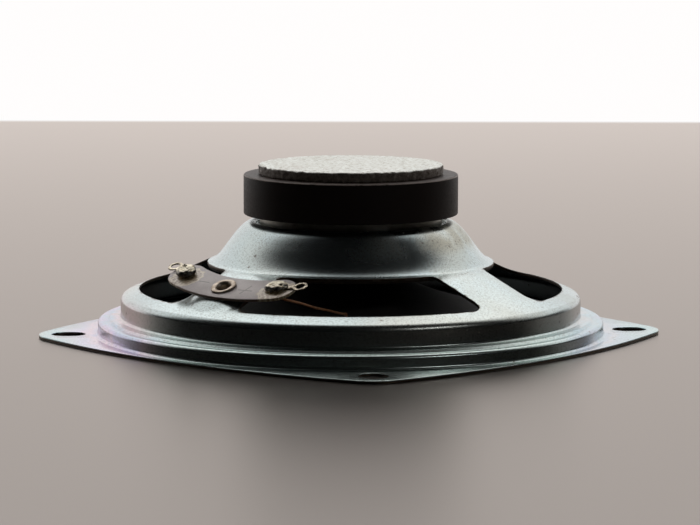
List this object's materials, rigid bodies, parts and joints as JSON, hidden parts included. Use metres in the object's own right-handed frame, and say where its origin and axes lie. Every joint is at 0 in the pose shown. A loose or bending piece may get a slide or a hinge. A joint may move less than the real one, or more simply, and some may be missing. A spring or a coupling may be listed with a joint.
{
  "type": "loudspeaker driver",
  "caption": "Round-coned loudspeaker driver with a pressed steel basket on an eared square flange, ferrite ring magnet and a terminal board with solder lugs.",
  "frame": {"origin": "on the cone's axis, in the plane of the mounting flange's front face, at the middle of the object's base as it lies on its front", "axes": "+Z along the cone's axis towards the magnet at the back; the four ears of the flange point along +X, +Y, -X and -Y; the terminal board sits between -X and -Y"},
  "size_m": [0.1606, 0.1606, 0.0444],
  "materials": {
    "zinc_steel": "zinc plated, faintly iridescent",
    "plate_steel": "zinc plated, dulled",
    "ferrite": "sintered, matte black",
    "fibre_board": "pressed fibre, purple brown",
    "tinned_metal": "tinned",
    "solder": "cold and dull",
    "braid": "woven copper tinsel",
    "copper": "enamelled copper wire",
    "eyelet_brass": "plain",
    "former_paper": "kraft paper",
    "cone_paper": "felted black paper",
    "surround_cloth": "doped cloth",
    "spider_cloth": "resin treated cloth",
    "gasket_card": "pressed grey card"
  },
  "bodies": {
    "frame": {"basket": "zinc_steel", "front_plate": "plate_steel", "magnet_ring": "ferrite", "t_yoke": "plate_steel", "staked_rivets": "plate_steel", "front_gasket": "gasket_card", "terminal_board": "fibre_board", "board_eyelet": "tinned_metal", "solder_lug_plus": "tinned_metal", "solder_lug_minus": "tinned_metal", "lug_rivets": "tinned_metal", "solder_joint_plus": "solder", "solder_joint_minus": "solder", "tinsel_lead_plus": "braid", "tinsel_lead_minus": "braid", "surround": "surround_cloth", "spider": "spider_cloth"},
    "moving_system": {"cone": "cone_paper", "dust_cap": "cone_paper", "coil_former": "former_paper", "coil_winding": "copper", "cone_eyelets": "eyelet_brass", "cone_solder_joints": "solder", "coil_tails": "copper"}
  },
  "joints": [
    {"name": "cone_travel", "type": "slide", "parent": "frame", "child": "moving_system", "axis": [0, 0, 1], "range_m": [-0.002, 0.002], "stiffness_N_per_m": 1500, "deforming": ["surround", "spider", "tinsel_lead_plus", "tinsel_lead_minus"]}
  ]
}
